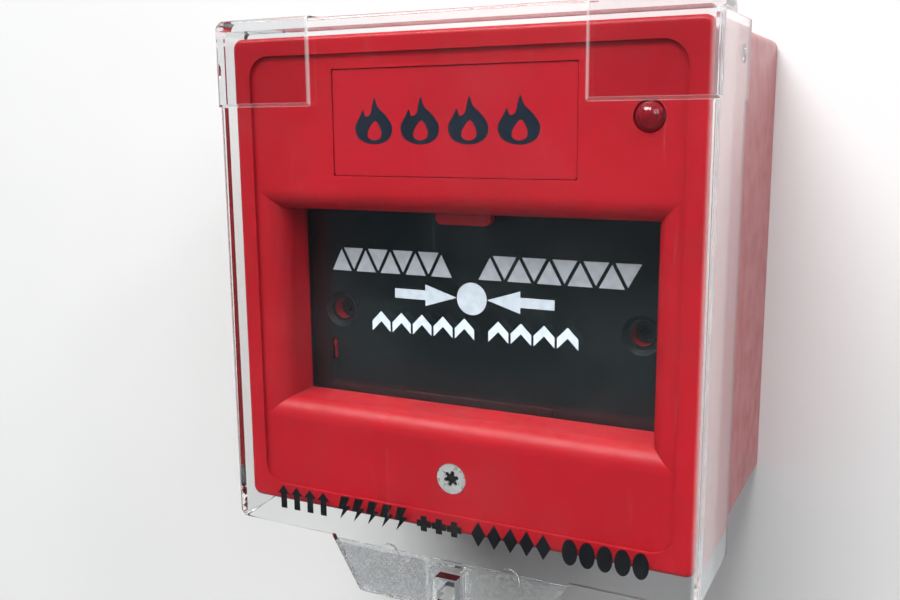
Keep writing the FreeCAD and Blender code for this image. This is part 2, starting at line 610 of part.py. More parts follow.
def earth_terminal():
    block = box(EARTH_X - 4, EARTH_X + 4, BOX_BACK - 8, BOX_BACK, EARTH_Z - 3.5, EARTH_Z + 3.5)
    long_edges = [edge for edge in block.Edges if edge.BoundBox.YLength > 1]
    block = block.makeChamfer(0.5, long_edges)
    wire_hole = rod_z(1.9, EARTH_X, BOX_BACK - 4, -FAR, 0)
    thread = rod_y(1.8, EARTH_X, BOX_BACK - 9, BOX_BACK - 4, EARTH_Z)
    save("earth_terminal", one(block.cut([wire_hole, thread])))
    head = soften_front(rod_y(3.0, EARTH_X, BOX_BACK - 10, BOX_BACK - 8, EARTH_Z), BOX_BACK - 10, 0.5)
    shank = rod_y(1.75, EARTH_X, BOX_BACK - 8, BOX_BACK - 5.4, EARTH_Z)
    slot = box(EARTH_X - 4, EARTH_X + 4, 0, BOX_BACK - 9.2, EARTH_Z - 0.4, EARTH_Z + 0.4)
    save("earth_screw", one(head.cut(slot).fuse(shank)))


def lift_tab():
    """The tab under the cover: a stepped finger plate, two round marks and a slot for a seal."""
    front = COVER_FRONT
    back = COVER_FRONT + COVER_WALL
    plate = plate_xz([(-TAB_HALF_TOP, COVER_LOW + 1), (-TAB_HALF_TOP, COVER_LOW),
                      (-TAB_HALF_LOW, TAB_LOW), (TAB_HALF_LOW, TAB_LOW),
                      (TAB_HALF_TOP, COVER_LOW), (TAB_HALF_TOP, COVER_LOW + 1)], front, back)
    low_corners = [edge for edge in plate.Edges if abs(edge.BoundBox.ZMax - TAB_LOW) < TINY
                   and edge.BoundBox.YLength > 1]
    plate = plate.makeFillet(1.0, low_corners)
    step = plate.common(box(-FAR, FAR, front, back, -FAR, TAB_RIDGE))
    step.translate(V(0, PAD_STEP, 0))
    marks = [rod_y(2.0, side * TAB_DISC_X, back - 0.5, back + 0.6, TAB_DISC_Z) for side in (-1, 1)]
    frame = box(-3.6, 3.6, back - 0.5, back + 3.0, -57.0, -50.3)
    hook = box(-1.5, 1.5, front + 0.4, back + 3.0, -57.0, -54.0)
    slot = box(-2.1, 2.1, front - 1, back + 4, -55.8, -51.5)
    return plate.fuse([step, frame] + marks).cut(slot).fuse(hook)


def pad_bounds(side):
    """Space that holds one hinge pad: its inner and lower edges are bevelled on the front face."""
    front = COVER_FRONT - PAD_STEP
    across = [V(side * FAR, front - 1, 0), V(side * PAD_X, front - 1, 0), V(side * PAD_X, front, 0),
              V(side * (PAD_X - PAD_BEVEL), COVER_FRONT, 0), V(side * (PAD_X - PAD_BEVEL), FAR, 0),
              V(side * FAR, FAR, 0)]
    upright = [V(0, front - 1, FAR), V(0, front - 1, PAD_Z), V(0, front, PAD_Z),
               V(0, COVER_FRONT, PAD_Z - PAD_BEVEL), V(0, FAR, PAD_Z - PAD_BEVEL), V(0, FAR, FAR)]
    inner = Part.Face(Part.makePolygon(across + across[:1])).extrude(V(0, 0, FAR))
    lower = Part.Face(Part.makePolygon(upright + upright[:1])).extrude(V(side * FAR, 0, 0))
    return inner.common(lower)


def clear_cover():
    """Front panel, two side walls and a short top; it is open below, where the test key goes in."""
    outer = rounded_block(COVER_HALF_X, COVER_LOW, COVER_HIGH, COVER_FRONT, COVER_REAR, COVER_CORNER)
    outer = soften_front(outer, COVER_FRONT, COVER_NOSE)
    thick = rounded_block(COVER_HALF_X + PAD_STEP, COVER_LOW, COVER_HIGH + PAD_STEP,
                          COVER_FRONT - PAD_STEP, COVER_REAR, COVER_CORNER)
    thick = soften_front(thick, COVER_FRONT - PAD_STEP, COVER_NOSE)
    pads = [thick.common(pad_bounds(side)) for side in (-1, 1)]
    cavity = rounded_block(COVER_INSIDE_X, COVER_LOW - 5, COVER_INSIDE_HIGH,
                           COVER_FRONT + COVER_WALL, COVER_REAR + 1, 0.8)
    behind_top = box(-FAR, FAR, COVER_TOP_REAR, FAR, COVER_INSIDE_HIGH - 0.8, FAR)
    # The side walls end on a slope, lower at the front
    slope = [V(-FAR, COVER_FRONT + COVER_WALL, COVER_LOW - 5), V(-FAR, COVER_FRONT + COVER_WALL, COVER_LOW),
             V(-FAR, COVER_REAR + 1, COVER_SIDE_LOW_REAR), V(-FAR, COVER_REAR + 1, COVER_LOW - 5)]
    under_sides = Part.Face(Part.makePolygon(slope + slope[:1])).extrude(V(2 * FAR, 0, 0))
    shell = outer.fuse(pads).cut([cavity, behind_top, under_sides])
    pips = [rod_x(PIN_R, INSIDE + 0.2, COVER_INSIDE_X + 0.5, HINGE_Y, HINGE_Z),
            rod_x(PIN_R, -COVER_INSIDE_X - 0.5, -INSIDE - 0.2, HINGE_Y, HINGE_Z)]
    save("clear_cover", one(shell.fuse([lift_tab()] + pips)))


def main():
    os.makedirs("parts", exist_ok=True)
    front_frame()
    label_plate()
    frame_screw()
    chassis_plate()
    chassis_screws()
    screw_bushes()
    brass_inserts()
    pane()
    pane_cradle()
    test_rocker()
    rocker_pin()
    rocker_spring()
    alarm_switch()
    switch_plunger()
    circuit_board()
    terminal_block()
    resistors()
    led()
    back_box()
    cable_grommet()
    earth_terminal()
    clear_cover()


main()
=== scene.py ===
"""Looks of the alarm call point: materials, printed marks, small pieces, light and camera.

Metres, in the row frame: +X to the right seen from the front, +Y into the wall, +Z up.
"""
import math

import bmesh
import bpy
from mathutils import Matrix, Vector


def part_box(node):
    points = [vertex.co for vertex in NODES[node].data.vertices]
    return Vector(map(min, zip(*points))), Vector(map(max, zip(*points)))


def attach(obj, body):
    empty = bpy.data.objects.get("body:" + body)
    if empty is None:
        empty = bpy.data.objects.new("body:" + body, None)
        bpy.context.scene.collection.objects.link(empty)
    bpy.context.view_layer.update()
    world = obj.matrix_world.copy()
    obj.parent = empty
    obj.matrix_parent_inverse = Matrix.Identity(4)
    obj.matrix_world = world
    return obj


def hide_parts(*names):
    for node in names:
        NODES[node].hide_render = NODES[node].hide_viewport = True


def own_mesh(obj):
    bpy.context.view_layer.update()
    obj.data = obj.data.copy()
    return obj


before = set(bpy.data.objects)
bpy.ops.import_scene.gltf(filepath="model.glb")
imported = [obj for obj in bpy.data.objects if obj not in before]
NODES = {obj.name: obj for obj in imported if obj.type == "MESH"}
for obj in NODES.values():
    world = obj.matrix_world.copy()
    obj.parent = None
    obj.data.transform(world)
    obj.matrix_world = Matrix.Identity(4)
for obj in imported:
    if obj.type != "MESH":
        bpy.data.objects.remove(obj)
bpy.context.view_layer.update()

MM = 0.001

# Camera: the fitted place, aim and lens of a 36 mm wide sensor
CAMERA_AT = Vector((74.64, -202.13, 28.64)) * MM
CAMERA_AZIMUTH = math.radians(26.864)
CAMERA_ELEVATION = math.radians(10.356)
CAMERA_ROLL = math.radians(-0.529)
CAMERA_LENS = 39.2

# Thickness of a layer of ink, the fronts of the film and the label, the front frame's face, and the
# gap from that face to the inside of the cover
INK = 0.02 * MM
FILM_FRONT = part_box("pane_film")[0].y
LABEL_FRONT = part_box("label_plate")[0].y
FRAME_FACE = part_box("front_frame")[0].y
COVER_GAP = 1.5 * MM


# ---------------------------------------------------------------- node helpers

def add(tree, kind, inputs=None, **settings):
    """A shader node with its settings and its inputs, which are values or sockets of other nodes."""
    made = tree.nodes.new(kind)
    for key, value in settings.items():
        setattr(made, key, value)
    for key, value in (inputs or {}).items():
        socket = made.inputs[key]
        if isinstance(value, bpy.types.NodeSocket):
            tree.links.new(value, socket)
        else:
            socket.default_value = value
    return made


def new_material(name):
    material = bpy.data.materials.new(name)
    material.use_nodes = True
    material.node_tree.nodes.clear()
    return material, material.node_tree


def place(tree):
    """Object coordinates, in metres in the row frame."""
    return add(tree, "ShaderNodeTexCoord").outputs["Object"]


def noise(tree, where, scale, detail=3.0, roughness=0.5):
    """Noise from 0 to 1 whose grains are about 1 / scale metres wide."""
    return add(tree, "ShaderNodeTexNoise", {"Vector": where, "Scale": scale, "Detail": detail,
                                            "Roughness": roughness}).outputs["Fac"]


def ramp(tree, value, low, high, out_low=0.0, out_high=1.0):
    """The value, taken from low..high to out_low..out_high and held at the ends."""
    return add(tree, "ShaderNodeMapRange", {"Value": value, "From Min": low, "From Max": high,
                                            "To Min": out_low, "To Max": out_high}).outputs["Result"]


def maths(tree, operation, a, b=0.0):
    return add(tree, "ShaderNodeMath", {0: a, 1: b}, operation=operation).outputs[0]


def product(tree, a, b):
    return maths(tree, "MULTIPLY", a, b)


def mix_colour(tree, share, a, b):
    """Colour a, giving way to colour b as the share goes from 0 to 1."""
    factor, colour_a, colour_b, colour_out = 0, 6, 7, 2
    mixer = add(tree, "ShaderNodeMix", {factor: share, colour_a: a, colour_b: b}, data_type="RGBA")
    return mixer.outputs[colour_out]


def bump(tree, height, strength, distance):
    return add(tree, "ShaderNodeBump", {"Height": height, "Strength": strength,
                                        "Distance": distance}).outputs["Normal"]


def finish_material(tree, shader):
    add(tree, "ShaderNodeOutputMaterial", {"Surface": shader})


def rgb(red, green, blue):
    return (red, green, blue, 1.0)


# ---------------------------------------------------------------- materials

def moulded(name, colour, dark, roughness, grain=2600.0, grain_depth=0.03, dust=0.0, specular=0.5):
    """Moulded plastic: fine grain, slow colour drift, uneven gloss, and dust on faces that look up."""
    material, tree = new_material(name)
    where = place(tree)
    drift = ramp(tree, noise(tree, where, 60.0), 0.3, 0.7)
    tint = mix_colour(tree, drift, rgb(*colour), rgb(*dark))
    fine = noise(tree, where, grain, 2.0)
    if dust:
        facing = add(tree, "ShaderNodeNewGeometry").outputs["Normal"]
        up = add(tree, "ShaderNodeSeparateXYZ", {0: facing}).outputs["Z"]
        patchy = ramp(tree, noise(tree, where, 420.0), 0.35, 0.75)
        settled = product(tree, ramp(tree, up, 0.35, 1.0), patchy)
        tint = mix_colour(tree, product(tree, settled, dust), tint, rgb(0.62, 0.56, 0.52))
    rough = ramp(tree, noise(tree, where, 240.0, 4.0), 0.3, 0.7, roughness - 0.05, roughness + 0.07)
    normal = bump(tree, fine, 0.35, grain_depth * MM)
    shader = add(tree, "ShaderNodeBsdfPrincipled", {
        "Base Color": tint, "Roughness": rough, "Normal": normal, "Specular IOR Level": specular})
    finish_material(tree, shader.outputs[0])
    return material


def metal(name, colour, roughness):
    """Plated or turned metal with fine scratches and small stains."""
    material, tree = new_material(name)
    where = place(tree)
    stain = ramp(tree, noise(tree, where, 900.0, 5.0), 0.5, 0.8)
    worn = mix_colour(tree, stain, rgb(*colour), rgb(*[0.75 * c for c in colour]))
    stretched = add(tree, "ShaderNodeMapping", {"Vector": where, "Scale": (1400.0, 140.0, 168.0)})
    lines = noise(tree, stretched.outputs[0], 4.0, 6.0)
    rough = ramp(tree, lines, 0.25, 0.75, roughness - 0.08, roughness + 0.14)
    shader = add(tree, "ShaderNodeBsdfPrincipled", {
        "Base Color": worn, "Metallic": 1.0, "Roughness": rough,
        "Normal": bump(tree, lines, 0.25, 0.01 * MM)})
    finish_material(tree, shader.outputs[0])
    return material


def lets_lamps_through(tree, shader, tint):
    """Clear pieces let light in to what they cover, so rays to the lamps pass straight on."""
    shadow = add(tree, "ShaderNodeLightPath").outputs["Is Shadow Ray"]
    open_way = add(tree, "ShaderNodeBsdfTransparent", {"Color": rgb(*tint)})
    mixed = add(tree, "ShaderNodeMixShader", {0: shadow, 1: shader.outputs[0], 2: open_way.outputs[0]})
    finish_material(tree, mixed.outputs[0])


def near(tree, value, centre, half):
    """1 within half of the centre, falling to 0 at twice that."""
    away = maths(tree, "ABSOLUTE", maths(tree, "SUBTRACT", value, centre))
    return ramp(tree, away, half, 2 * half, 1.0, 0.0)


def clear_cover_plastic():
    """Clear plastic: smears, hairlines, smoky hinge pads with painted highlight lines along their edges, a
    hazy wall, a frosted tab.
    """
    material, tree = new_material("clear_plastic")
    where = place(tree)
    axes = add(tree, "ShaderNodeSeparateXYZ", {0: where})
    across = maths(tree, "ABSOLUTE", axes.outputs["X"])
    depth, height = axes.outputs["Y"], axes.outputs["Z"]
    # Frosted grip below the tab's ridge: none on the catch in the middle, nearly worn away right of it
    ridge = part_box("back_box")[0].z - 4.8 * MM
    catch_half, soft, left_of_grip = 3.3 * MM, 0.3 * MM, 0.12
    beside_catch = ramp(tree, across, catch_half, catch_half + soft)
    worn = ramp(tree, axes.outputs["X"], catch_half + 0.1 * MM, catch_half + 0.7 * MM, 1.0, left_of_grip)
    grip = product(tree, ramp(tree, height, ridge, ridge - 0.2 * MM), beside_catch)
    grip = product(tree, grip, worn)
    grain = noise(tree, where, 3300.0, 2.0, 0.75)
    # Painted highlight lines at the inner and lower edges of the two hinge pads, on the front face, made
    # milky so they show pale
    pad_x, pad_z, bevel = 25.28 * MM, 31.68 * MM, 0.2 * MM
    front = ramp(tree, depth, FRAME_FACE - 2.6 * MM, FRAME_FACE - 2.9 * MM)
    inner = product(tree, near(tree, across, pad_x, bevel), ramp(tree, height, pad_z - bevel, pad_z))
    lower = product(tree, near(tree, height, pad_z, bevel), ramp(tree, across, pad_x - bevel, pad_x))
    bevel_highlights = product(tree, maths(tree, "MAXIMUM", inner, lower), front)
    # Haze where hands and cloths have been
    smear = ramp(tree, noise(tree, where, 42.0, 5.0, 0.6), 0.5, 0.74)
    hair = add(tree, "ShaderNodeMapping", {"Vector": where, "Scale": (2200.0, 2200.0, 60.0),
                                           "Rotation": (0.0, 0.6, 0.0)})
    hairlines = ramp(tree, noise(tree, hair.outputs[0], 1.0, 4.0), 0.68, 0.74)
    # Milky haze in the front part of the right wall
    wall_inside, fade = 43.8 * MM, 0.6 * MM
    right_wall_haze = product(tree, ramp(tree, axes.outputs["X"], wall_inside - fade, wall_inside),
                     ramp(tree, depth, FRAME_FACE + 9.0 * MM, FRAME_FACE + 5.0 * MM))
    # How milky each of these makes the plastic, and the frost
    milky = product(tree, smear, 0.004)
    # The pads' edge lines are painted highlights: their share of milkiness makes them show pale
    for mark, share in ((hairlines, 0.02), (bevel_highlights, 0.28), (right_wall_haze, 0.11)):
        milky = maths(tree, "ADD", milky, product(tree, mark, share))
    frost = product(tree, grip, ramp(tree, grain, 0.47, 0.60, 0.05, 0.67))
    clear = maths(tree, "SUBTRACT", 1.0, maths(tree, "ADD", milky, frost))
    polish = maths(tree, "ADD", product(tree, smear, 0.02), 0.012)
    pads = product(tree, ramp(tree, across, pad_x, pad_x + bevel), ramp(tree, height, pad_z, pad_z + bevel))
    smoky = product(tree, pads, front)
    tint = mix_colour(tree, smoky, rgb(0.97, 0.985, 0.98), rgb(0.74, 0.76, 0.78))
    tint = mix_colour(tree, grip, tint, rgb(0.44, 0.45, 0.46))
    rough = maths(tree, "ADD", polish, product(tree, grip, 0.13))
    normal = bump(tree, product(tree, grain, grip), 1.0, 0.09 * MM)
    shader = add(tree, "ShaderNodeBsdfPrincipled", {
        "Base Color": tint, "Transmission Weight": clear, "IOR": 1.49,
        "Roughness": rough, "Normal": normal})
    lets_lamps_through(tree, shader, (0.93, 0.95, 0.945))
    return material


def pane_glass():
    """Slightly green glass with faint smears in its gloss."""
    material, tree = new_material("pane_glass")
    where = place(tree)
    smear = ramp(tree, noise(tree, where, 90.0, 4.0), 0.45, 0.75, 0.01, 0.05)
    shader = add(tree, "ShaderNodeBsdfPrincipled", {
        "Base Color": rgb(0.86, 0.93, 0.92), "Transmission Weight": 1.0, "IOR": 1.52, "Roughness": smear})
    lets_lamps_through(tree, shader, (0.9, 0.93, 0.92))
    return material


def film_plastic():
    """The clear film over the glass: see-through, with a thin sheen and specks of dust."""
    material, tree = new_material("pane_film_clear")
    where = place(tree)
    specks = ramp(tree, noise(tree, where, 1500.0, 2.0), 0.73, 0.8)
    haze = ramp(tree, noise(tree, where, 45.0, 3.0), 0.35, 0.8, 0.0, 0.004)
    share = maths(tree, "ADD", haze, product(tree, specks, 0.09))
    veil = add(tree, "ShaderNodeBsdfPrincipled", {"Base Color": rgb(0.62, 0.66, 0.68), "Roughness": 0.3})
    through = add(tree, "ShaderNodeBsdfTransparent", {"Color": rgb(1, 1, 1)})
    mixed = add(tree, "ShaderNodeMixShader", {0: share, 1: through.outputs[0], 2: veil.outputs[0]})
    finish_material(tree, mixed.outputs[0])
    return material


def ink(name, colour, roughness, metallic=0.0):
    """A screen-printed layer, slightly uneven in cover and gloss."""
    material, tree = new_material(name)
    where = place(tree)
    patch = ramp(tree, noise(tree, where, 700.0, 4.0), 0.35, 0.75)
    tint = mix_colour(tree, patch, rgb(*colour), rgb(*[0.8 * c for c in colour]))
    rough = ramp(tree, noise(tree, where, 500.0, 3.0), 0.3, 0.7, roughness - 0.05, roughness + 0.08)
    shader = add(tree, "ShaderNodeBsdfPrincipled", {
        "Base Color": tint, "Roughness": rough, "Metallic": metallic, "Specular IOR Level": 0.12})
    finish_material(tree, shader.outputs[0])
    return material


def lamp_red():
    """The lamp's dome: deep red, cloudy and partly clear, with a polished coat."""
    material, tree = new_material("lamp_red")
    where = place(tree)
    cloud = ramp(tree, noise(tree, where, 500.0, 3.0), 0.35, 0.75)
    tint = mix_colour(tree, cloud, rgb(0.17, 0.005, 0.010), rgb(0.11, 0.003, 0.007))
    shader = add(tree, "ShaderNodeBsdfPrincipled", {
        "Base Color": tint, "Transmission Weight": 0.22, "IOR": 1.5, "Roughness": 0.07,
        "Coat Weight": 0.6, "Coat Roughness": 0.04})
    lets_lamps_through(tree, shader, (0.7, 0.08, 0.08))
    return material


def board_green():
    """Solder resist over copper tracks."""
    material, tree = new_material("board_green")
    where = place(tree)
    tracks = add(tree, "ShaderNodeTexBrick", {
        "Vector": where, "Scale": 260.0, "Mortar Size": 0.06, "Color1": rgb(0.01, 0.10, 0.04),
        "Color2": rgb(0.012, 0.12, 0.05), "Mortar": rgb(0.03, 0.26, 0.10)})
    rough = ramp(tree, noise(tree, where, 300.0), 0.3, 0.7, 0.25, 0.4)
    normal = bump(tree, tracks.outputs["Fac"], 0.3, 0.03 * MM)
    shader = add(tree, "ShaderNodeBsdfPrincipled", {
        "Base Color": tracks.outputs["Color"], "Roughness": rough, "Normal": normal})
    finish_material(tree, shader.outputs[0])
    return material


def resistor_bands():
    """Lacquered resistors: colour bands across the body, which lies along x."""
    material, tree = new_material("resistor_bands")
    low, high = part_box("resistors")
    along = add(tree, "ShaderNodeSeparateXYZ", {0: place(tree)}).outputs["X"]
    bands = add(tree, "ShaderNodeValToRGB", {"Fac": ramp(tree, along, low.x, high.x)})
    bands.color_ramp.interpolation = "CONSTANT"
    lead, buff, brown = (0.7, 0.7, 0.68), (0.52, 0.40, 0.22), (0.25, 0.1, 0.02)
    black, red, gold = (0.02, 0.02, 0.02), (0.5, 0.02, 0.01), (0.6, 0.42, 0.1)
    stops = [(0.0, lead), (0.2, buff), (0.32, brown), (0.38, buff), (0.45, black), (0.51, buff),
             (0.58, red), (0.64, buff), (0.71, gold), (0.76, buff), (0.8, lead)]
    points = bands.color_ramp.elements
    points[0].color = rgb(*stops[0][1])
    points[1].position = stops[1][0]
    points[1].color = rgb(*stops[1][1])
    for position, colour in stops[2:]:
        points.new(position).color = rgb(*colour)
    rough = ramp(tree, noise(tree, place(tree), 900.0), 0.3, 0.7, 0.2, 0.35)
    shader = add(tree, "ShaderNodeBsdfPrincipled", {
        "Base Color": bands.outputs["Color"], "Roughness": rough})
    finish_material(tree, shader.outputs[0])
    return material


def bush_red():
    """Red bushes whose front-facing rims are painted near black as shade, so that only their bores show
    red.
    """
    material, tree = new_material("bush_red")
    where = place(tree)
    facing = add(tree, "ShaderNodeSeparateXYZ", {0: add(tree, "ShaderNodeNewGeometry").outputs["Normal"]})
    # Painted shade: faces that look to the front are coloured near black
    front_rim_shade = ramp(tree, facing.outputs["Y"], -0.6, -0.85)
    cloud = ramp(tree, noise(tree, where, 600.0), 0.3, 0.7)
    drift = mix_colour(tree, cloud, rgb(0.36, 0.008, 0.012), rgb(0.27, 0.005, 0.009))
    tint = mix_colour(tree, front_rim_shade, drift, rgb(0.006, 0.006, 0.007))
    rough = ramp(tree, noise(tree, where, 900.0, 4.0), 0.3, 0.7, 0.28, 0.42)
    shader = add(tree, "ShaderNodeBsdfPrincipled", {"Base Color": tint, "Roughness": rough})
    finish_material(tree, shader.outputs[0])
    return material


def driven_screw():
    """Zinc plate that is bright on the face of the head, with painted shade, near black, down in the
    recess.
    """
    material, tree = new_material("driven_screw")
    where = place(tree)
    depth = add(tree, "ShaderNodeSeparateXYZ", {0: where}).outputs["Y"]
    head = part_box("frame_screw")[0].y
    recess_shade = ramp(tree, depth, head + 0.12 * MM, head + 0.55 * MM)
    stain = ramp(tree, noise(tree, where, 1100.0, 5.0), 0.45, 0.8)
    clean = mix_colour(tree, stain, rgb(0.60, 0.60, 0.595), rgb(0.50, 0.50, 0.49))
    # Painted shade: the recess is coloured near black by its depth, where shade falls in it
    tint = mix_colour(tree, recess_shade, clean, rgb(0.035, 0.032, 0.03))
    turned = add(tree, "ShaderNodeMapping", {"Vector": where, "Scale": (900.0, 200.0, 900.0)})
    lines = noise(tree, turned.outputs[0], 1.0, 6.0)
    rough = ramp(tree, lines, 0.25, 0.75, 0.2, 0.42)
    shader = add(tree, "ShaderNodeBsdfPrincipled", {
        "Base Color": tint, "Metallic": 0.7, "Roughness": rough,
        "Normal": bump(tree, lines, 0.2, 0.01 * MM)})
    finish_material(tree, shader.outputs[0])
    return material


def dress(material, *nodes):
    """Gives CAD nodes a material."""
    for name in nodes:
        mesh = NODES[name].data
        mesh.materials.clear()
        mesh.materials.append(material)


def dress_cad():
    """Gives every CAD node its material, and returns the two that small pieces share."""
    red = moulded("red_plastic", (0.265, 0.004, 0.009), (0.225, 0.003, 0.007), 0.38,
                  dust=0.02, specular=0.16)
    dress(red, "front_frame")
    dress(bush_red(), "screw_bushes")
    dress(moulded("box_red", (0.30, 0.004, 0.010), (0.26, 0.003, 0.008), 0.2,
                  grain_depth=0.008, dust=0.02), "back_box")
    dress(moulded("label_red", (0.265, 0.004, 0.010), (0.24, 0.003, 0.009), 0.42, grain=4200.0,
                  grain_depth=0.01, specular=0.14), "label_plate")
    dress(moulded("black_plastic", (0.005, 0.006, 0.007), (0.008, 0.009, 0.010), 0.45, specular=0.22),
          "chassis_plate", "pane_cradle", "switch_body", "led_spacer")
    dress(moulded("white_plastic", (0.72, 0.70, 0.62), (0.64, 0.62, 0.54), 0.4),
          "test_rocker", "switch_plunger")
    dress(moulded("terminal_green", (0.02, 0.28, 0.10), (0.015, 0.22, 0.08), 0.4), "terminal_block")
    dress(moulded("rubber", (0.012, 0.012, 0.013), (0.02, 0.02, 0.02), 0.7, grain=1500.0, specular=0.3),
          "cable_grommet")
    zinc = metal("zinc_steel", (0.74, 0.73, 0.70), 0.26)
    dress(zinc, "board_screws", "switch_screws", "terminal_screws", "earth_screw", "rocker_pin")
    dress(driven_screw(), "frame_screw")
    dress(metal("blackened_steel", (0.05, 0.05, 0.055), 0.35), "chassis_screws")
    dress(metal("brass", (0.78, 0.57, 0.25), 0.3), "frame_insert", "box_inserts", "terminal_clamps",
          "earth_terminal")
    dress(metal("tinned", (0.75, 0.75, 0.74), 0.25), "led_leads", "switch_pins")
    dress(board_green(), "circuit_board")
    dress(resistor_bands(), "resistors")
    dress(lamp_red(), "led_lens")
    dress(clear_cover_plastic(), "clear_cover")
    dress(pane_glass(), "glass_pane")
    return red, zinc


# ---------------------------------------------------------------- printed marks

def flat_mark(name, outlines, front, body, material):
    """A printed layer: closed outlines of (x, z) points in mm, inner ones cut holes. front is its y."""
    curve = bpy.data.curves.new(name, "CURVE")
    curve.dimensions = "2D"
    curve.fill_mode = "BOTH"
    curve.extrude = INK / 2
    for outline in outlines:
        spline = curve.splines.new("POLY")
        spline.points.add(len(outline) - 1)
        for point, (x, z) in zip(spline.points, outline):
            point.co = (x * MM, z * MM, 0.0, 1.0)
        spline.use_cyclic_u = True
    drawn = bpy.data.objects.new(name + "_curve", curve)
    bpy.context.scene.collection.objects.link(drawn)
    bpy.context.view_layer.update()
    mesh = bpy.data.meshes.new_from_object(drawn)
    bpy.data.objects.remove(drawn)
    mesh.transform(Matrix.Translation((0, front + INK / 2, 0)) @ Matrix.Rotation(math.pi / 2, 4, "X"))
    mesh.name = name
    mesh.materials.clear()
    mesh.materials.append(material)
    piece = bpy.data.objects.new(name, mesh)
    bpy.context.scene.collection.objects.link(piece)
    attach(piece, body)


def shifted(outline, dx, dz, scale_x=1.0, scale_z=1.0):
    return [(x * scale_x + dx, z * scale_z + dz) for x, z in outline]


def smooth_outline(corners, steps=8):
    """A closed Catmull-Rom line through the corners."""
    points = []
    count = len(corners)
    for index in range(count):
        p0, p1, p2, p3 = (Vector(corners[(index + k) % count]) for k in (-1, 0, 1, 2))
        for step in range(steps):
            t = step / steps
            points.append(tuple(0.5 * (2 * p1 + (p2 - p0) * t + (2 * p0 - 5 * p1 + 4 * p2 - p3) * t * t
                                       + (3 * p1 - p0 - 3 * p2 + p3) * t ** 3)))
    return points


def ring(x, z, radius, steps=48):
    angles = [2 * math.pi * k / steps for k in range(steps)]
    return [(x + radius * math.cos(angle), z + radius * math.sin(angle)) for angle in angles]


def chevron(width, height, stroke):
    """An arrowhead band that points up, from z = 0 to z = height."""
    half = width / 2
    return [(0, height), (half, height - half), (half, height - half - stroke), (0, height - stroke),
            (-half, height - half - stroke), (-half, height - half)]


def up_arrow(width, height, shaft):
    half = width / 2
    neck = height - half * 1.25
    return [(0, height), (half, neck), (shaft / 2, neck), (shaft / 2, 0), (-shaft / 2, 0),
            (-shaft / 2, neck), (-half, neck)]


def bolt(width, height):
    """A jagged stroke that runs down to the left."""
    points = [(0.25, 1.0), (0.95, 1.0), (0.62, 0.62), (1.0, 0.62), (0.12, 0.0), (0.38, 0.44), (0.0, 0.44)]
    return [((x - 0.5) * width, z * height) for x, z in points]


def diamond(width, height):
    return [(0, 0), (width / 2, height / 2), (0, height), (-width / 2, height / 2)]


def plus(size, stroke, base):
    reach, bar_half, mid = size / 2, stroke / 2, base + size / 2
    return [(-bar_half, mid - reach), (bar_half, mid - reach), (bar_half, mid - bar_half),
            (reach, mid - bar_half), (reach, mid + bar_half), (bar_half, mid + bar_half),
            (bar_half, mid + reach), (-bar_half, mid + reach), (-bar_half, mid + bar_half),
            (-reach, mid + bar_half), (-reach, mid - bar_half), (-bar_half, mid - bar_half)]


def shards(x0, x1, z0, z1, count, gap):
    """A strip of upright and inverted triangles with even gaps, like a pane that has been broken."""
    pitch = (x1 - x0) / (count + 1)
    pieces = []
    for index in range(count):
        left = x0 + pitch * index
        right = left + 2 * pitch
        if index % 2:
            pieces.append([(left + gap, z1), (left + pitch, z0 + gap * 0.6), (right - gap, z1)])
        else:
            pieces.append([(left + gap, z0), (right - gap, z0), (left + pitch, z1 - gap * 0.6)])
    return pieces


def flame_outlines(x, z, width, height):
    """A flame with a tongue of ground colour inside it."""
    outer = smooth_outline([(0.02, 1.0), (0.10, 0.80), (0.30, 0.60), (0.43, 0.36), (0.36, 0.12),
                            (0.14, 0.0), (-0.14, 0.0), (-0.38, 0.12), (-0.46, 0.36), (-0.34, 0.60),
                            (-0.26, 0.74), (-0.20, 0.60), (-0.08, 0.66), (-0.04, 0.84)])
    inner = smooth_outline([(0.03, 0.50), (0.16, 0.30), (0.15, 0.14), (0.0, 0.07), (-0.15, 0.14),
                            (-0.14, 0.30)])
    return [shifted(outer, x, z, width, height), shifted(inner, x, z, width, height)]


def print_label():
    """Four bold flames in black, in place of a word."""
    left, right, low, high = -18.8, 17.3, 24.9, 32.6
    count, width_share = 4, 0.92
    pitch = (right - left) / count
    outlines = []
    for index in range(count):
        outlines += flame_outlines(left + pitch * (index + 0.5), low, pitch * width_share, high - low)
    black = ink("label_ink", (0.005, 0.010, 0.018), 0.4)
    flat_mark("label_print", outlines, LABEL_FRONT - INK, "housing", black)


def print_pane():
    """Silver marks on the film: broken shards above, arrows at the disc, chevrons below."""
    silver = ink("silver_ink", (0.33, 0.35, 0.385), 0.42, 0.2)
    white = ink("pale_ink", (0.50, 0.555, 0.64), 0.45)
    front = FILM_FRONT + 0.005 * MM
    strip_low, strip_high, gap = 0.8, 5.2, 0.55
    broken = []
    for left, right, count in ((-30.0, -3.4, 9), (0.8, 31.5, 10)):
        broken += shards(left, right, strip_low, strip_high, count, gap)
    flat_mark("pane_print_shards", broken, front, "pane", silver)
    centre_z, disc_radius = -2.8, 2.95
    disc = ring(0.0, centre_z, disc_radius)
    arrows = []
    for side in (-1, 1):
        head = [(3.0, 0.0), (9.4, 2.0), (9.4, 0.9), (15.8, 0.9), (15.8, -0.9), (9.4, -0.9), (9.4, -2.0)]
        arrows.append([(side * x, z + centre_z) for x, z in head])
    flat_mark("pane_print_target", [disc] + arrows, front, "pane",
              ink("target_ink", (0.44, 0.485, 0.545), 0.42, 0.1))
    band, pitch, low = chevron(3.9, 4.0, 1.9), 4.35, -10.5
    below = []
    for start, count in ((-18.9, 5), (5.2, 4)):
        for index in range(count):
            below.append(shifted(band, start + pitch * index, low))
    flat_mark("pane_print_chevrons", below, front, "pane", white)


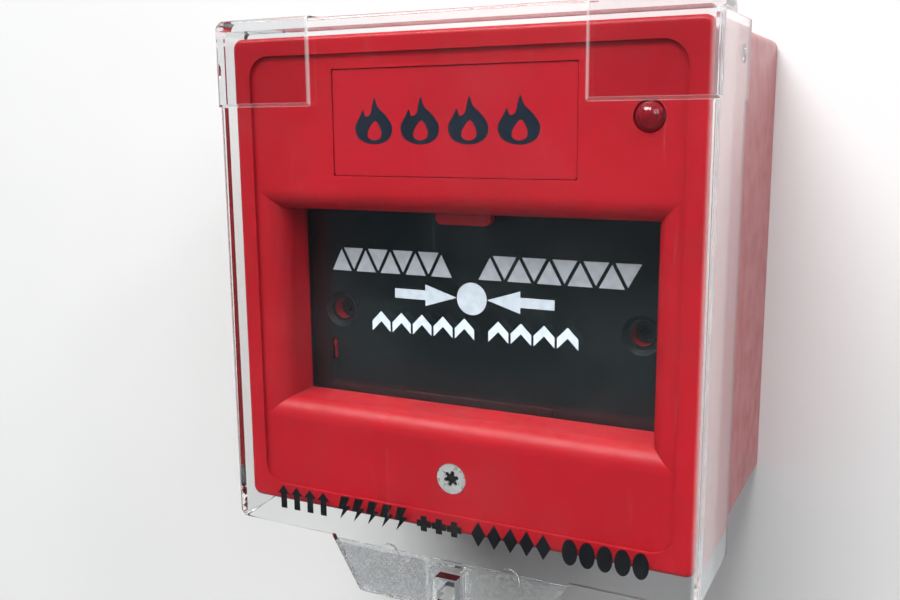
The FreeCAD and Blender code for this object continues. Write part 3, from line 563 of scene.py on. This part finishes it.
def print_cover():
    """A row of small black signs inside the cover: arrows, bolts, pluses, diamonds and discs."""
    black = ink("cover_ink", (0.004, 0.004, 0.005), 0.35)
    low, height = -44.4, 4.6
    width, pitch, gap = 2.75, 3.02, 1.65
    groups = [(4, up_arrow(width, height, 1.35)), (5, bolt(width, height)), (3, plus(2.85, 1.25, 0.9)),
              (5, diamond(width, height)),
              (5, shifted(ring(0.0, 0.0, 1.0), 0.0, height / 2, width / 2, height / 2))]
    signs = []
    x = -34.9
    for count, outline in groups:
        for _ in range(count):
            signs.append(shifted(outline, x, low))
            x += pitch
        x += gap
    inside = FRAME_FACE - COVER_GAP
    flat_mark("cover_print", signs, inside + 0.002 * MM, "cover", black)


# ---------------------------------------------------------------- small pieces

def put(name, mesh, body, material):
    piece = bpy.data.objects.new(name, mesh)
    bpy.context.scene.collection.objects.link(piece)
    mesh.materials.append(material)
    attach(piece, body)
    return piece


def printed_film():
    """The clear film itself, a thin sheet just in front of the glass."""
    low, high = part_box("pane_film")
    mesh = bpy.data.meshes.new("printed_film")
    built = bmesh.new()
    bmesh.ops.create_cube(built, size=1.0)
    bmesh.ops.scale(built, vec=(high.x - low.x, 0.03 * MM, high.z - low.z), verts=built.verts)
    centre = ((low.x + high.x) / 2, high.y - 0.04 * MM, (low.z + high.z) / 2)
    bmesh.ops.translate(built, vec=centre, verts=built.verts)
    built.to_mesh(mesh)
    built.free()
    piece = put("printed_film", mesh, "pane", film_plastic())
    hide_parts("pane_film")


def coil_spring(steel):
    """The rocker's spring: a tube along a helix with flat end turns."""
    low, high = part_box("rocker_spring")
    wire_r = 0.25 * MM
    radius = (high.x - low.x) / 2 - wire_r
    centre_x = (low.x + high.x) / 2
    centre_y = (low.y + high.y) / 2
    base = low.z + wire_r
    height = high.z - low.z - 2 * wire_r
    turns, flat_turns, around, sides = 7.5, 0.75, 36, 12
    steps = int(turns * around)
    built = bmesh.new()
    rings = []
    for step in range(steps + 1):
        turn = step / around
        share = min(max((turn - flat_turns) / (turns - 2 * flat_turns), 0.0), 1.0)
        angle = 2 * math.pi * turn
        centre = Vector((centre_x + radius * math.cos(angle), centre_y + radius * math.sin(angle),
                         base + height * share))
        outward = Vector((math.cos(angle), math.sin(angle), 0))
        loop = []
        for side in range(sides):
            a = 2 * math.pi * side / sides
            off_centre = math.cos(a) * outward + math.sin(a) * Vector((0, 0, 1))
            loop.append(built.verts.new(centre + wire_r * off_centre))
        rings.append(loop)
    for first, second in zip(rings, rings[1:]):
        for side in range(sides):
            nxt = (side + 1) % sides
            built.faces.new((first[side], first[nxt], second[nxt], second[side]))
    built.faces.new(rings[0])
    built.faces.new(rings[-1][::-1])
    bmesh.ops.recalc_face_normals(built, faces=built.faces)
    for face in built.faces:
        face.smooth = True
    mesh = bpy.data.meshes.new("coil_spring")
    built.to_mesh(mesh)
    built.free()
    piece = put("coil_spring", mesh, "housing", steel)
    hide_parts("rocker_spring")
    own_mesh(piece)


def revolve(profile, sides=48):
    """A mesh turned about y from (radius, depth) points in metres."""
    built = bmesh.new()
    rings = []
    for radius, depth in profile:
        if radius < 1e-6:
            rings.append([built.verts.new((0, depth, 0))])
            continue
        angles = [2 * math.pi * k / sides for k in range(sides)]
        rings.append([built.verts.new((radius * math.cos(angle), depth, radius * math.sin(angle)))
                      for angle in angles])
    for first, second in zip(rings, rings[1:]):
        for k in range(sides):
            a, b = first[k % len(first)], first[(k + 1) % len(first)]
            c, d = second[(k + 1) % len(second)], second[k % len(second)]
            corners = list(dict.fromkeys((a, b, c, d)))
            if len(corners) > 2:
                built.faces.new(corners)
    bmesh.ops.recalc_face_normals(built, faces=built.faces)
    for face in built.faces:
        face.smooth = True
    return built


def lamp_cup(steel):
    """The reflector cup and chip inside the lamp's dome."""
    low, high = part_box("led_lens")
    centre_x = (low.x + high.x) / 2
    centre_z = (low.z + high.z) / 2
    front = low.y + 3.0 * MM
    front_rim_shade, outside, chip, floor, back = 1.05 * MM, 1.2 * MM, 0.45 * MM, 0.9 * MM, 2.6 * MM
    built = revolve([(0.0, floor), (chip, floor), (front_rim_shade, 0.0), (outside, 0.0), (outside, back), (0.0, back)])
    bmesh.ops.translate(built, vec=(centre_x, front, centre_z), verts=built.verts)
    mesh = bpy.data.meshes.new("lamp_cup")
    built.to_mesh(mesh)
    built.free()
    put("lamp_cup", mesh, "housing", steel)


def catch_tongue(red):
    """The red catch in the slot at the lower left of the chassis: a hooked strip with soft edges."""
    behind_glass = 2.55 * MM
    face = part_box("glass_pane")[1].y + behind_glass
    centre_x, base_z, thick = -31.9 * MM, -17.75 * MM, 0.9 * MM
    side = [(0.5, 0.0), (0.9, 0.0), (0.9, 3.9), (0.35, 3.9), (0.0, 3.5), (0.0, 2.7), (0.4, 2.3),
            (0.4, 0.5)]
    built = bmesh.new()
    points = [built.verts.new((centre_x - thick / 2, face + y * MM, base_z + z * MM)) for y, z in side]
    swept = bmesh.ops.extrude_face_region(built, geom=[built.faces.new(points)])
    moved = [item for item in swept["geom"] if isinstance(item, bmesh.types.BMVert)]
    bmesh.ops.translate(built, vec=(thick, 0, 0), verts=moved)
    bmesh.ops.recalc_face_normals(built, faces=built.faces)
    bmesh.ops.bevel(built, geom=list(built.edges), offset=0.09 * MM, segments=2, affect="EDGES")
    mesh = bpy.data.meshes.new("catch_tongue")
    built.to_mesh(mesh)
    built.free()
    put("catch_tongue", mesh, "housing", red)


# ---------------------------------------------------------------- stage, light and camera

def one_sided(name, colour, roughness):
    """A pale matt surface that is only there from its front, and so hides nothing from behind."""
    material, tree = new_material(name)
    where = place(tree)
    drift = ramp(tree, noise(tree, where, 14.0, 5.0), 0.3, 0.7)
    tint = mix_colour(tree, drift, rgb(*colour), rgb(*[0.97 * c for c in colour]))
    paint = add(tree, "ShaderNodeBsdfPrincipled", {
        "Base Color": tint, "Roughness": roughness,
        "Normal": bump(tree, noise(tree, where, 500.0, 4.0), 0.15, 0.1 * MM)})
    behind = add(tree, "ShaderNodeNewGeometry").outputs["Backfacing"]
    through = add(tree, "ShaderNodeBsdfTransparent")
    mixed = add(tree, "ShaderNodeMixShader", {0: behind, 1: paint.outputs[0], 2: through.outputs[0]})
    finish_material(tree, mixed.outputs[0])
    return material


def stage_plane(name, corners, material):
    mesh = bpy.data.meshes.new(name)
    mesh.from_pydata(corners, [], [(0, 1, 2, 3)])
    mesh.materials.append(material)
    plane = bpy.data.objects.new(name, mesh)
    bpy.context.scene.collection.objects.link(plane)
    return plane


def stage_set():
    """A pale wall just behind the back face and a pale floor well below."""
    reach, wall_y, floor_z = 3.0, 0.0006, -0.7
    pale = one_sided("pale_wall", (0.80, 0.805, 0.805), 0.7)
    wall = stage_plane("wall", [(-reach, wall_y, floor_z), (reach, wall_y, floor_z),
                                (reach, wall_y, reach), (-reach, wall_y, reach)], pale)
    wall.visible_shadow = False
    matt = one_sided("pale_floor", (0.76, 0.76, 0.75), 0.6)
    floor = stage_plane("floor", [(-reach, -reach, floor_z), (reach, -reach, floor_z),
                                  (reach, reach, floor_z), (-reach, reach, floor_z)], matt)
    floor.visible_glossy = False
    floor.visible_diffuse = False
    floor.visible_transmission = False


def area_light(name, place_at, aim_at, width, height, power, colour):
    lamp = bpy.data.lights.new(name, "AREA")
    lamp.shape = "RECTANGLE"
    lamp.size = width
    lamp.size_y = height
    lamp.energy = power
    lamp.color = colour
    holder = bpy.data.objects.new(name, lamp)
    holder.location = place_at
    holder.rotation_euler = (Vector(aim_at) - Vector(place_at)).to_track_quat("-Z", "Y").to_euler()
    bpy.context.scene.collection.objects.link(holder)


def light_set():
    aim = (0, -0.04, 0)
    area_light("key", (-0.62, -1.58, 2.22), aim, 2.5, 1.0, 134.0, (1.0, 0.995, 0.985))
    area_light("fill", (1.05, -0.75, 0.75), aim, 0.9, 0.9, 9.0, (0.95, 0.97, 1.0))
    area_light("spark", (0.80, -0.42, 0.62), aim, 0.14, 0.14, 1.6, (1.0, 1.0, 1.0))
    area_light("rear", (0.35, 0.8, 0.5), aim, 0.7, 0.7, 6.0, (0.97, 0.98, 1.0))


def studio_world():
    """Pale all round where it is looked at; lit softly from above; dim and bluish in reflections."""
    world = bpy.data.worlds.new("studio")
    world.use_nodes = True
    tree = world.node_tree
    tree.nodes.clear()
    path = add(tree, "ShaderNodeLightPath")
    toward = add(tree, "ShaderNodeTexCoord").outputs["Generated"]
    up = add(tree, "ShaderNodeSeparateXYZ", {0: toward}).outputs["Z"]
    overhead = ramp(tree, up, 0.0, 0.9, 0.04, 0.42)
    lit = add(tree, "ShaderNodeBackground", {"Color": rgb(0.95, 0.97, 1.0), "Strength": overhead})
    pale = add(tree, "ShaderNodeBackground", {"Color": rgb(0.86, 0.87, 0.88), "Strength": 0.95})
    dim = add(tree, "ShaderNodeBackground", {"Color": rgb(0.045, 0.060, 0.072), "Strength": 1.0})
    seen = maths(tree, "MAXIMUM", path.outputs["Is Camera Ray"], path.outputs["Is Transmission Ray"])
    direct = add(tree, "ShaderNodeMixShader", {0: seen, 1: lit.outputs[0], 2: pale.outputs[0]})
    mirrored = maths(tree, "GREATER_THAN", path.outputs["Glossy Depth"], 0.5)
    whole = add(tree, "ShaderNodeMixShader", {0: mirrored, 1: direct.outputs[0], 2: dim.outputs[0]})
    add(tree, "ShaderNodeOutputWorld", {"Surface": whole.outputs[0]})
    bpy.context.scene.world = world


def set_camera():
    """A camera at the fitted place, turned by its azimuth, elevation and roll."""
    level = math.cos(CAMERA_ELEVATION)
    back = Vector((math.sin(CAMERA_AZIMUTH) * level, -math.cos(CAMERA_AZIMUTH) * level,
                   math.sin(CAMERA_ELEVATION)))
    right = (-back).cross(Vector((0, 0, 1))).normalized()
    up = back.cross(right)
    turned_right = math.cos(CAMERA_ROLL) * right + math.sin(CAMERA_ROLL) * up
    turned_up = math.cos(CAMERA_ROLL) * up - math.sin(CAMERA_ROLL) * right
    data = bpy.data.cameras.new("camera")
    data.lens = CAMERA_LENS
    data.clip_start = 0.005
    camera = bpy.data.objects.new("camera", data)
    turn = Matrix((turned_right, turned_up, back)).transposed().to_4x4()
    camera.matrix_world = Matrix.Translation(CAMERA_AT) @ turn
    bpy.context.scene.collection.objects.link(camera)
    bpy.context.scene.camera = camera


def colour_and_paths():
    """Plain colour, and paths long enough for light that runs along the walls of the clear cover."""
    scene = bpy.context.scene
    scene.view_settings.view_transform = "Standard"
    scene.cycles.max_bounces = 24
    scene.cycles.glossy_bounces = 16
    scene.cycles.transmission_bounces = 24
    scene.cycles.transparent_max_bounces = 32


set_camera()
colour_and_paths()
frame_red, zinc_steel = dress_cad()
catch_tongue(frame_red)
print_label()
print_pane()
print_cover()
printed_film()
coil_spring(zinc_steel)
lamp_cup(zinc_steel)
stage_set()
light_set()
studio_world()
